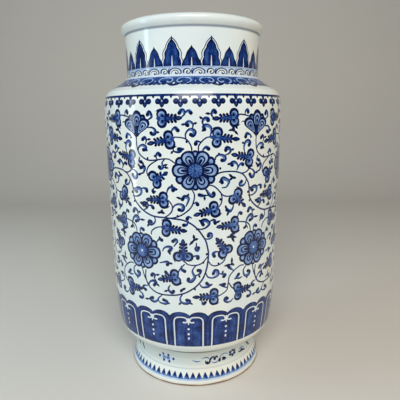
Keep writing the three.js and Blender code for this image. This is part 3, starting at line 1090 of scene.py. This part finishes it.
class Profile:
    """A ring's closed outline, laid out as one line from its inner bottom corner round and back."""

    def __init__(self, outside, inside):
        stretches = outside
        if inside:
            bottom = straight(inside[-1][-1], outside[0][0])
            top = straight(outside[-1][-1], inside[0][0])
            stretches = [bottom, *outside, top, *inside]
        self.place, self.slope, self.corners = [], [], [0.0]
        stretches = [stretch for stretch in stretches if np.ptp(stretch, axis=0).max() > 1e-6]
        for stretch in stretches:
            self.add_stretch(stretch)
        self.places = np.concatenate(self.place)
        self.radii, self.heights = np.vstack(stretches).T
        first = 1 if inside else 0
        self.low = self.corners[first]
        self.high = self.corners[first + len(outside)]
        painted = (self.places >= self.low) & (self.places <= self.high)
        climbs = np.diff(self.heights[painted]) >= 0
        rising = np.concatenate([[True], climbs]).cumprod().astype(bool)
        self.painted_places = self.places[painted][rising]
        self.painted_heights = self.heights[painted][rising]

    def add_stretch(self, stretch):
        step = np.linalg.norm(np.diff(stretch, axis=0), axis=1)
        place = self.corners[-1] + np.concatenate([[0], np.cumsum(step)])
        along = np.gradient(stretch, place, axis=0) if len(stretch) > 2 else np.diff(stretch, axis=0)
        along = np.broadcast_to(along, stretch.shape)
        self.place.append(place)
        self.slope.append(np.unwrap(np.arctan2(along[:, 1], along[:, 0])))
        self.corners.append(place[-1])

    def place_at(self, height):
        return np.interp(height, self.painted_heights, self.painted_places)

    def point(self, place):
        return np.interp(place, self.places, self.radii), np.interp(place, self.places, self.heights)

    def slope_at(self, place):
        """The direction of the outline at each place; places lie inside a stretch, not on a corner."""
        index = np.clip(np.searchsorted(self.corners, place) - 1, 0, len(self.place) - 1)
        angle = np.zeros(len(place))
        for number, (places, angles) in enumerate(zip(self.place, self.slope)):
            chosen = index == number
            angle[chosen] = np.interp(place[chosen], places, angles)
        return angle

    def rows(self):
        """Places of the mesh's rows: each corner, and enough between two corners for the curve."""
        rows = [0.0]
        for places, angles in zip(self.place, self.slope):
            length = places[-1] - places[0]
            turning = math.degrees(np.abs(np.diff(angles)).sum())
            count = max(1, math.ceil(length / ROW_STEP), math.ceil(turning / ROW_TURN))
            rows += list(np.linspace(places[0], places[-1], count + 1)[1:])
        return rows


# Width of the flat layout, in millimetres to a degree, and how close two of its points may lie
LAYOUT = 2
NEAR = 1e-4

# Strips that the map of the outside is cut into, and the room round each in millimetres
STRIPS = 3
MAP_MARGIN = 3


def cut_to(outline, axis, limit, keep_above):
    """The part of a closed outline on one side of a line across an axis."""
    sign = 1 if keep_above else -1
    inside = sign * (outline[:, axis] - limit) >= 0
    if inside.all():
        return outline
    kept = []
    for index, point in enumerate(outline):
        other = outline[index - 1]
        if inside[index] != inside[index - 1]:
            share = (limit - other[axis]) / (point[axis] - other[axis])
            kept.append(other + (point - other) * share)
        if inside[index]:
            kept.append(point)
    return np.reshape(kept, (-1, 2))


def cut_to_box(outline, low, high):
    """The part of a closed outline inside a box."""
    for axis in (0, 1):
        for limit, keep_above in ((low[axis], True), (high[axis], False)):
            outline = cut_to(outline, axis, limit, keep_above)
    return outline


def with_steps(outline, step):
    """The outline with places added where two of them lie far apart."""
    ends = np.roll(outline, -1, 0)
    counts = np.maximum(1, np.ceil(np.linalg.norm(ends - outline, axis=1) / step).astype(int))
    if counts.max() == 1:
        return outline
    parts = [
        start + (end - start) * (np.arange(count) / count)[:, None]
        for start, end, count in zip(outline, ends, counts)
    ]
    return np.vstack(parts)


def winds_round(outline, points):
    """Which points the outline winds round, also where it crosses itself."""
    start_x, start_y = outline.T[:, :, None]
    end_x, end_y = np.roll(outline, -1, 0).T[:, :, None]
    x, y = points.T
    side = (end_x - start_x) * (y - start_y) - (x - start_x) * (end_y - start_y)
    rises = (start_y <= y) & (end_y > y) & (side > 0)
    falls = (start_y > y) & (end_y <= y) & (side < 0)
    return rises.sum(0) != falls.sum(0)


def painted_shapes(profile, shapes):
    """The shapes that fall on a profile's outside, cut to it and laid out flat."""
    low = (-180, profile.painted_heights[0])
    high = (180, profile.painted_heights[-1])
    found = []
    for tone, outline in shapes:
        if outline[:, 1].max() <= low[1] or outline[:, 1].min() >= high[1]:
            continue
        for lap in (-360, 0, 360):
            shifted = outline + (lap, 0)
            if shifted[:, 0].max() <= low[0] or shifted[:, 0].min() >= high[0]:
                continue
            part = cut_to_box(shifted, low, high)
            if len(part) >= 3:
                across, height = with_steps(part * (LAYOUT, 1), ROW_STEP).T
                found.append((tone, np.stack([across, profile.place_at(height)], 1)))
    return found


def skin(name, outside, inside, shapes, material):
    """One closed piece: an outline turned about the axis, with the painted shapes cut into it."""
    profile = Profile(outside, inside)
    shapes = painted_shapes(profile, shapes)
    rows = profile.rows()
    columns = np.linspace(-180, 180, COLUMNS + 1) * LAYOUT
    grid = np.stack(np.meshgrid(columns, rows), -1).reshape(-1, 2)
    points = [grid]
    edges = grid_edges(profile, rows)
    count = len(grid)
    for tone, outline in shapes:
        size = len(outline)
        points.append(outline)
        edges += [(count + index, count + (index + 1) % size) for index in range(size)]
        count += size
    laid = [Vector(point) for point in np.vstack(points).tolist()]
    found = delaunay_2d_cdt(laid, edges, [], 0, NEAR)
    flat_points = np.array([tuple(point) for point in found[0]])
    faces = np.array(found[2])
    centres = flat_points[faces].mean(1)
    make_piece(name, profile, flat_points, faces, centres, face_tones(shapes, centres), material)


def grid_edges(profile, rows):
    """The grid's edges that have to stay: along the outline's corners and up the seams of the map."""
    wide = COLUMNS + 1
    corners = {int(np.abs(np.array(rows) - corner).argmin()) for corner in profile.corners}
    seams = [round(COLUMNS * strip / STRIPS) for strip in range(STRIPS + 1)]
    edges = []
    for row in corners:
        edges += [(row * wide + column, row * wide + column + 1) for column in range(COLUMNS)]
    for column in seams:
        edges += [(row * wide + column, (row + 1) * wide + column) for row in range(len(rows) - 1)]
    return edges


def face_tones(shapes, centres):
    """The strength of the cobalt on each face: that of the last shape that winds round its centre."""
    order = np.argsort(centres[:, 0])
    ordered = centres[order]
    tones = np.zeros(len(centres))
    for tone, outline in shapes:
        low, high = outline.min(0), outline.max(0)
        first, last = np.searchsorted(ordered[:, 0], (low[0], high[0]))
        nearby = np.arange(first, last)
        nearby = nearby[(ordered[nearby, 1] > low[1]) & (ordered[nearby, 1] < high[1])]
        tones[nearby[winds_round(outline, ordered[nearby])]] = tone
    unordered = np.zeros(len(centres))
    unordered[order] = tones
    return unordered


def turned_about_axis(profile, flat_points):
    """Places of the flat layout on the vase, in metres."""
    radius, height = profile.point(flat_points[:, 1])
    angle = np.radians(flat_points[:, 0] / LAYOUT)
    return np.stack([radius * np.sin(angle), -radius * np.cos(angle), height], 1) * MM


def joined(places, flat_points, last):
    """For each vertex the one that stands for it, where the layout's opposite edges meet."""
    edge_room = 10 * NEAR
    same_place = 0.003 * MM
    stands_for = np.arange(len(places))
    on_edge = np.abs(flat_points[:, 0]) > 180 * LAYOUT - edge_room
    on_edge |= (flat_points[:, 1] < edge_room) | (flat_points[:, 1] > last - edge_room)
    spots = np.flatnonzero(on_edge)
    tree = KDTree(len(spots))
    for number, spot in enumerate(spots):
        tree.insert(places[spot], number)
    tree.balance()
    for spot in spots:
        near = tree.find_range(places[spot], same_place)
        stands_for[spot] = min(spots[number] for _, number, _ in near)
    return stands_for


def make_piece(name, profile, flat_points, faces, centres, tones, material):
    """The visible piece: its mesh, painting, map and normals, in place of the CAD node of that name."""
    places = turned_about_axis(profile, flat_points)
    merged = joined(places, flat_points, profile.corners[-1])[faces]
    sound = (merged != np.roll(merged, 1, 1)).all(1)
    faces, merged, centres, tones = faces[sound], merged[sound], centres[sound], tones[sound]
    used, index = np.unique(merged, return_inverse=True)
    mesh = bpy.data.meshes.new(name)
    mesh.from_pydata(places[used].tolist(), [], index.reshape(-1, 3).tolist())
    mesh.polygons.foreach_set("use_smooth", np.ones(len(faces), bool))
    paint = mesh.attributes.new("cobalt", "FLOAT", "FACE")
    paint.data.foreach_set("value", tones.astype(np.float32))
    corner_points = flat_points[faces].reshape(-1, 2)
    own_centres = np.repeat(centres, 3, axis=0)
    set_map(mesh, profile, corner_points, own_centres)
    mesh.normals_split_custom_set(corner_normals(profile, corner_points, own_centres).tolist())
    mesh.materials.append(material)
    piece = bpy.data.objects.new(name + "_skin", mesh)
    bpy.context.scene.collection.objects.link(piece)
    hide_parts(name)
    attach(piece, "root")


def corner_normals(profile, corner_points, own_centres):
    """The true surface's direction at each face's corners, seen from the face's own side of a crease."""
    towards_centre = 0.02
    place = between(corner_points[:, 1], own_centres[:, 1], towards_centre)
    slope = profile.slope_at(place)
    outward, upward = np.sin(slope), -np.cos(slope)
    angle = np.radians(corner_points[:, 0] / LAYOUT)
    return np.stack([outward * np.sin(angle), -outward * np.cos(angle), upward], 1)


def set_map(mesh, profile, corner_points, own_centres):
    """Lays the outside out in stacked strips, with the inside pressed into one more above them."""
    width = 360 / STRIPS
    outer_height = profile.high - profile.low
    inner_length = profile.corners[-1] - outer_height
    step = outer_height + MAP_MARGIN
    around = math.radians(width) * profile.radii.max()
    inner_height = 0.12 * STRIPS * outer_height
    size = max(STRIPS * step + inner_height + MAP_MARGIN, around + 2 * MAP_MARGIN)
    angle = corner_points[:, 0] / LAYOUT + 180
    strip = np.clip((own_centres[:, 0] / LAYOUT + 180) // width, 0, STRIPS - 1)
    outer_across = MAP_MARGIN + (angle - strip * width) / width * around
    outer_up = MAP_MARGIN + strip * step + corner_points[:, 1] - profile.low
    past_top = own_centres[:, 1] > profile.high
    inside = (own_centres[:, 1] < profile.low) | past_top
    past = corner_points[:, 1] - np.where(past_top, profile.high, profile.low - inner_length)
    base = MAP_MARGIN + STRIPS * step
    room = size - base - MAP_MARGIN
    across = np.where(inside, MAP_MARGIN + angle / 360 * (size - 2 * MAP_MARGIN), outer_across)
    up = np.where(inside, base + past / max(inner_length, 1) * room, outer_up)
    layer = mesh.uv_layers.new(name="OFBake")
    layer.uv.foreach_set("vector", (np.stack([across, up], 1) / size).astype(np.float32).ravel())


# Materials

def add(tree, kind, inputs=None, **settings):
    """Adds a node, makes its settings and fills in its inputs."""
    node = tree.nodes.new(kind)
    for setting, value in settings.items():
        setattr(node, setting, value)
    fill_in(tree, node, inputs or {})
    return node


def fill_in(tree, node, inputs):
    """Sets a node's inputs to constants, or links them to other nodes' outputs."""
    for socket, value in inputs.items():
        if isinstance(value, bpy.types.NodeSocket):
            tree.links.new(value, node.inputs[socket])
        else:
            node.inputs[socket].default_value = value


def noise(tree, place, scale, detail=2.0, roughness=0.5):
    values = {"Vector": place, "Scale": scale, "Detail": detail, "Roughness": roughness}
    return add(tree, "ShaderNodeTexNoise", values).outputs["Fac"]


def spots(tree, place, scale, radius, blur):
    """A mask of small round spots: one inside each, and nothing a blur's width past its edge."""
    away = add(tree, "ShaderNodeTexVoronoi", {"Vector": place, "Scale": scale}).outputs["Distance"]
    return stretch(tree, away, radius, radius + blur, 1, 0)


def sum_of(tree, first, second, factor=1.0, clamp=False):
    """first + second x factor"""
    values = {0: second, 1: factor, 2: first}
    return add(tree, "ShaderNodeMath", values, operation="MULTIPLY_ADD", use_clamp=clamp).outputs[0]


def product(tree, first, second):
    return add(tree, "ShaderNodeMath", {0: first, 1: second}, operation="MULTIPLY").outputs[0]


def stretch(tree, value, low, high, new_low=0.0, new_high=1.0):
    """The value moved from one range to another, and held at its ends."""
    values = {"Value": value, "From Min": low, "From Max": high, "To Min": new_low, "To Max": new_high}
    return add(tree, "ShaderNodeMapRange", values).outputs["Result"]


def varied(tree, value, low, high, amount):
    """The value moved from one range to as much below nothing as above it."""
    return stretch(tree, value, low, high, -amount, amount)


def blend_colours(tree, factor, first, second):
    return add(tree, "ShaderNodeMix", {0: factor, 6: first, 7: second}, data_type="RGBA").outputs[2]


def ramp(tree, value, stops):
    node = add(tree, "ShaderNodeValToRGB", {"Fac": value})
    elements = node.color_ramp.elements
    while len(elements) < len(stops):
        elements.new(0.5)
    for element, (position, colour) in zip(elements, stops):
        element.position = position
        element.color = colour
    return node.outputs["Color"]


def group(name, inputs, outputs):
    """A node group with named inputs and outputs, and its two end nodes."""
    tree = bpy.data.node_groups.new(name, "ShaderNodeTree")
    for socket, kind, value in inputs:
        made = tree.interface.new_socket(socket, in_out="INPUT", socket_type="NodeSocket" + kind)
        if value is not None:
            made.default_value = value
    for socket, kind in outputs:
        tree.interface.new_socket(socket, in_out="OUTPUT", socket_type="NodeSocket" + kind)
    return tree, tree.nodes.new("NodeGroupInput").outputs, tree.nodes.new("NodeGroupOutput").inputs


def placed(tree, shader_group, inputs):
    node = add(tree, "ShaderNodeGroup", node_tree=shader_group)
    fill_in(tree, node, inputs)
    return node.outputs


def linear(red, green, blue):
    """A colour given as it looks on screen, 0 to 255, as the light values that Blender wants."""
    shares = [channel / 255 for channel in (red, green, blue)]
    return [s / 12.92 if s <= 0.04045 else ((s + 0.055) / 1.055) ** 2.4 for s in shares] + [1]


def glaze_colour_and_shade_group():
    """Pale glazed porcelain, cool or warm in places, with iron specks, and with painted shade and thick
    glaze round the foot's waist, in its grooves and under the lip.
    """
    inputs = [("Place", "Vector", None), ("Speck Amount", "Float", 1.0)]
    tree, given, result = group("glazed_body_and_shade", inputs, [("Color", "Color")])
    place = given["Place"]
    clouds = noise(tree, place, scale=7, detail=3)
    mixed = sum_of(tree, clouds, noise(tree, place, scale=38, detail=2), 0.25)
    colour = ramp(tree, mixed, (
        (0.42, linear(214, 227, 230)),
        (0.62, linear(227, 234, 231)),
        (0.8, linear(232, 232, 221)),
    ))
    rare = stretch(tree, noise(tree, place, scale=30, detail=1), 0.6, 0.66)
    specks = product(tree, spots(tree, place, scale=95, radius=0.035, blur=0.04), rare)
    specks = product(tree, specks, given["Speck Amount"])
    colour = blend_colours(tree, specks, colour, linear(150, 132, 104))
    # The glaze's colour with painted shade and thick glaze in the foot's grooves, round its waist and
    # under the lip
    tree.links.new(shade_and_pooled_glaze(tree, place, colour), result["Color"])
    return tree


def shade_and_pooled_glaze(tree, place, colour):
    """The colour with painted shade and thick glaze on the outside: round the foot's waist, at its dots,
    in its groove and under the lip.
    """
    # Each band of painted shade and thick glaze: its height and colour, how far from there it fades and
    # ends, and its strength
    pools = (
        # Painted shade round the foot's waist, under the body's overhang, with greyer thick glaze
        (34, linear(176, 190, 188), 7, 13, 0.55),
        # A thin grey line of painted groove shade and thick glaze at the foot's dotted line
        (21.3, linear(150, 166, 160), 0.4, 1.6, 0.4),
        # A dark line of painted shade and thick glaze in the groove where the body overhangs the foot
        (sum(foot_groove_heights) / 2, linear(84, 98, 96), 0.6, 1.9, 0.85),
        # A blue-grey line of painted shade and thick glaze under the lip
        (lip_joint, linear(88, 106, 130), 0.5, 2, 0.75),
    )
    height = add(tree, "ShaderNodeSeparateXYZ", {"Vector": place}).outputs["Z"]
    level = add(tree, "ShaderNodeVectorMath", {0: place, 1: (1, 1, 0)}, operation="MULTIPLY").outputs[0]
    radius = add(tree, "ShaderNodeVectorMath", {0: level}, operation="LENGTH").outputs["Value"]
    outer_side = stretch(tree, radius, 81 * MM, 83 * MM)
    for middle, shade_and_pool_colour, fades, ends, strength in pools:
        above = add(tree, "ShaderNodeMath", {0: height, 1: middle * MM}, operation="SUBTRACT").outputs[0]
        away = add(tree, "ShaderNodeMath", {0: above}, operation="ABSOLUTE").outputs[0]
        near = stretch(tree, away, fades * MM, ends * MM, strength, 0)
        colour = blend_colours(tree, product(tree, near, outer_side), colour, shade_and_pool_colour)
    return colour


def cobalt_group():
    """Cobalt under the glaze: watery where the wash is thin, dark where the brush left more."""
    inputs = [("Glaze Color", "Color", None), ("Strength", "Float", 0.0), ("Place", "Vector", None)]
    tree, given, result = group("cobalt_painting", inputs, [("Color", "Color"), ("Painted", "Float")])
    strength, place = given["Strength"], given["Place"]
    upright = add(tree, "ShaderNodeMapping", {"Vector": place, "Scale": (230, 230, 34)}).outputs[0]
    streaks = varied(tree, noise(tree, upright, scale=1, detail=2), 0.3, 0.7, 0.08)
    pools = varied(tree, noise(tree, place, scale=120, detail=3), 0.3, 0.7, 0.11)
    share = stretch(tree, strength, 0.1, 0.6, 0.2, 1)
    uneven = product(tree, sum_of(tree, streaks, pools), share)
    level = sum_of(tree, strength, uneven, clamp=True)
    heaps = stretch(tree, noise(tree, place, scale=420, detail=2), 0.56, 0.66, 0, 0.16)
    level = sum_of(tree, level, stretch(tree, level, 0.45, 0.8), heaps, clamp=True)
    colour = ramp(tree, level, (
        (0.0, linear(230, 236, 236)),
        (0.22, linear(168, 192, 224)),
        (0.42, linear(98, 132, 188)),
        (0.6, linear(46, 82, 146)),
        (0.78, linear(10, 44, 110)),
        (0.95, linear(0, 17, 64)),
    ))
    painted = stretch(tree, strength, 0.02, 0.12)
    tree.links.new(blend_colours(tree, painted, given["Glaze Color"], colour), result["Color"])
    tree.links.new(painted, result["Painted"])
    return tree


def glaze_surface_group():
    """The glaze's surface: faint waves, orange peel and pinholes, and a touch less gloss in places."""
    tree, given, result = group(
        "glaze_surface", [("Place", "Vector", None)], [("Height", "Float"), ("Roughness", "Float")])
    place = given["Place"]
    pinholes = spots(tree, place, scale=140, radius=0.03, blur=0.03)
    peel = noise(tree, place, scale=260, detail=2)
    waves = noise(tree, place, scale=22, detail=2)
    height = sum_of(tree, sum_of(tree, product(tree, pinholes, -0.5), peel, 0.12), waves)
    roughness = stretch(tree, noise(tree, place, scale=16, detail=3), 0.35, 0.7, 0.09, 0.2)
    tree.links.new(height, result["Height"])
    tree.links.new(roughness, result["Roughness"])
    return tree


def glazed_material(name, groups, speck_amount):
    """A new material, the place on the piece, and the colour and surface of the glaze there."""
    material = bpy.data.materials.new(name)
    material.use_nodes = True
    tree = material.node_tree
    place = add(tree, "ShaderNodeTexCoord").outputs["Object"]
    strength = add(tree, "ShaderNodeAttribute", attribute_name="cobalt").outputs["Fac"]
    body = placed(tree, groups["body"], {"Place": place, "Speck Amount": speck_amount})["Color"]
    paint = placed(tree, groups["cobalt"], {"Glaze Color": body, "Strength": strength, "Place": place})
    return material, place, paint["Color"], placed(tree, groups["surface"], {"Place": place})


def finish_material(material, colour, roughness, height, bump_strength):
    """Links the colour, the roughness and the relief to the material's shader."""
    tree = material.node_tree
    relief = {"Height": height, "Strength": bump_strength, "Distance": 0.6 * MM}
    normal = add(tree, "ShaderNodeBump", relief).outputs["Normal"]
    shader = tree.nodes["Principled BSDF"]
    fill_in(tree, shader, {"Base Color": colour, "Roughness": roughness, "Normal": normal, "IOR": 1.5})
    return material


def painted_glaze(groups):
    """The glazed and painted wall."""
    material, _, colour, surface = glazed_material("painted_glaze", groups, 0.7)
    return finish_material(material, colour, surface["Roughness"], surface["Height"], 0.12)


def foot_glaze(groups):
    """The foot: painted and glazed above, bare grey-brown clay at the rim that it stands on, its darkest
    brown partly painted contact shadow against the table.
    """
    material, place, colour, surface = glazed_material("foot_glaze", groups, 1.0)
    tree = material.node_tree
    height = add(tree, "ShaderNodeSeparateXYZ", {"Vector": place}).outputs["Z"]
    above_edge = sum_of(tree, height, noise(tree, place, scale=60, detail=3), -2.2 * MM)
    bare = stretch(tree, above_edge, 0.8 * MM, 1.6 * MM, 1, 0)
    toasted = product(tree, stretch(tree, above_edge, 1 * MM, 5 * MM, 1, 0), 0.35)
    grain = noise(tree, place, scale=420, detail=4, roughness=0.6)
    # Bare clay, darkened towards dark brown as painted contact shadow where the rim meets the table
    clay_and_contact_shadow = ramp(tree, grain, (
        (0.3, linear(92, 72, 52)),
        (0.55, linear(134, 110, 84)),
        (0.75, linear(168, 146, 118)),
    ))
    warm = blend_colours(tree, toasted, colour, linear(205, 186, 156))
    shown = blend_colours(tree, bare, warm, clay_and_contact_shadow)
    roughness = sum_of(tree, surface["Roughness"], bare, 0.7)
    relief = sum_of(tree, surface["Height"], grain, bare)
    return finish_material(material, shown, roughness, relief, 0.15)


# The pieces

def dress_vase():
    """The eight pieces from the table up, each in the skin that stands in for its CAD node."""
    groups = {"body": glaze_colour_and_shade_group(), "cobalt": cobalt_group(), "surface": glaze_surface_group()}
    glaze = painted_glaze(groups)
    shapes = painting()
    skin("foot_ring", foot_outside(), foot_inside(), shapes, foot_glaze(groups))
    skin("base_floor", floor_outline(), [], [], glaze)
    lower = lower_outside()
    middle = ring_outside(lower_joint_radius, lower_joint, middle_joint_radius, middle_joint)
    upper = ring_outside(middle_joint_radius, middle_joint, body_radius, upper_joint)
    skin("lower_body", lower, inside_of(lower, body_wall, body_wall, roll_below=False), shapes, glaze)
    skin("middle_body", middle, inside_of(middle, body_wall, body_wall), shapes, glaze)
    skin("upper_body", upper, inside_of(upper, body_wall, body_wall), shapes, glaze)
    sloping = shoulder_outside()
    skin("shoulder", sloping, inside_of(sloping, body_wall, neck_wall, roll_above=False), shapes, glaze)
    collar = neck_outside()
    skin("neck", collar, inside_of(collar, neck_wall, neck_wall, False, False), shapes, glaze)
    lip = lip_outside()
    bore = (lip_joint_radius - neck_wall, lip_joint)
    skin("mouth_rim", lip, [straight(lip[-1][-1], bore)], [], glaze)


# The studio

def plain_material(name, colour, roughness):
    material = bpy.data.materials.new(name)
    material.use_nodes = True
    tree = material.node_tree
    fill_in(tree, tree.nodes["Principled BSDF"], {"Base Color": colour, "Roughness": roughness})
    return material


def add_floor():
    """A pale floor that curves up behind into a plain backdrop, in metres."""
    half_width, front, back, height, bow = 2.6, 0.75, 1.5, 2.4, 0.5
    line = [(-front, 0), (back - bow, 0)]
    for degrees in range(10, 91, 10):
        turn = math.radians(degrees)
        line.append((back - bow + bow * math.sin(turn), bow - bow * math.cos(turn)))
    line.append((back, height))
    points = [(side * half_width, y, z) for y, z in line for side in (-1, 1)]
    faces = [(row, row + 1, row + 3, row + 2) for row in range(0, len(points) - 2, 2)]
    mesh = bpy.data.meshes.new("floor")
    mesh.from_pydata(points, [], faces)
    mesh.polygons.foreach_set("use_smooth", [True] * len(faces))
    mesh.materials.append(plain_material("floor_paper", linear(224, 219, 211), 0.9))
    floor = bpy.data.objects.new("floor", mesh)
    bpy.context.scene.collection.objects.link(floor)


# Each lamp: name, place, power, width, height, colour, and whether it shows in the glaze
LAMPS = (
    ("key", (0.05, -1.4, 1.3), 22.4, 1.2, 0.8, (1, 0.99, 0.97), True),
    ("front_fill", (0, -1.5, 0.5), 3.6, 1.4, 1.4, (0.94, 0.97, 1), False),
    ("window", (-1.15, -0.25, 0.4), 2.2, 0.14, 0.9, (0.86, 0.95, 1), True),
    ("cool_side", (-1.2, -0.1, 0.7), 3.8, 0.8, 0.8, (0.5, 0.84, 1), False),
    ("warm_side", (1.2, -0.3, 0.6), 2.6, 0.7, 0.8, (1, 0.78, 0.45), False),
)


def add_lamp(name, place, power, width, height, colour, reflected):
    """A soft lamp aimed at the vase."""
    target = Vector((0, 0, 0.25))
    light = bpy.data.lights.new(name, "AREA")
    light.shape = "RECTANGLE"
    light.energy = power
    light.size = width
    light.size_y = height
    light.color = colour
    lamp = bpy.data.objects.new(name, light)
    lamp.location = place
    lamp.rotation_mode = "QUATERNION"
    lamp.rotation_quaternion = (target - lamp.location).to_track_quat("-Z", "Y")
    lamp.visible_glossy = reflected
    bpy.context.scene.collection.objects.link(lamp)


def add_camera():
    """The photograph's view: 0.57 m from the axis, three quarters of the way up and looking down."""
    place = (0, -0.5681, 0.3471)
    down, right, roll = math.radians(11.93), math.radians(0.84), math.radians(-0.47)
    data = bpy.data.cameras.new("camera")
    data.sensor_width = 36
    data.lens = 37.39
    camera = bpy.data.objects.new("camera", data)
    turn = Matrix.Rotation(-right, 4, "Z") @ Matrix.Rotation(math.pi / 2 - down, 4, "X")
    camera.matrix_world = Matrix.Translation(place) @ turn @ Matrix.Rotation(roll, 4, "Z")
    bpy.context.scene.collection.objects.link(camera)
    bpy.context.scene.camera = camera


def add_world():
    """A little even light from all round."""
    world = bpy.data.worlds.new("world")
    world.use_nodes = True
    tree = world.node_tree
    fill_in(tree, tree.nodes["Background"], {"Color": (0.92, 0.96, 1, 1), "Strength": 0.12})
    bpy.context.scene.world = world


add_camera()
dress_vase()
add_floor()
add_world()
for lamp in LAMPS:
    add_lamp(*lamp)
bpy.context.scene.view_settings.view_transform = "Standard"
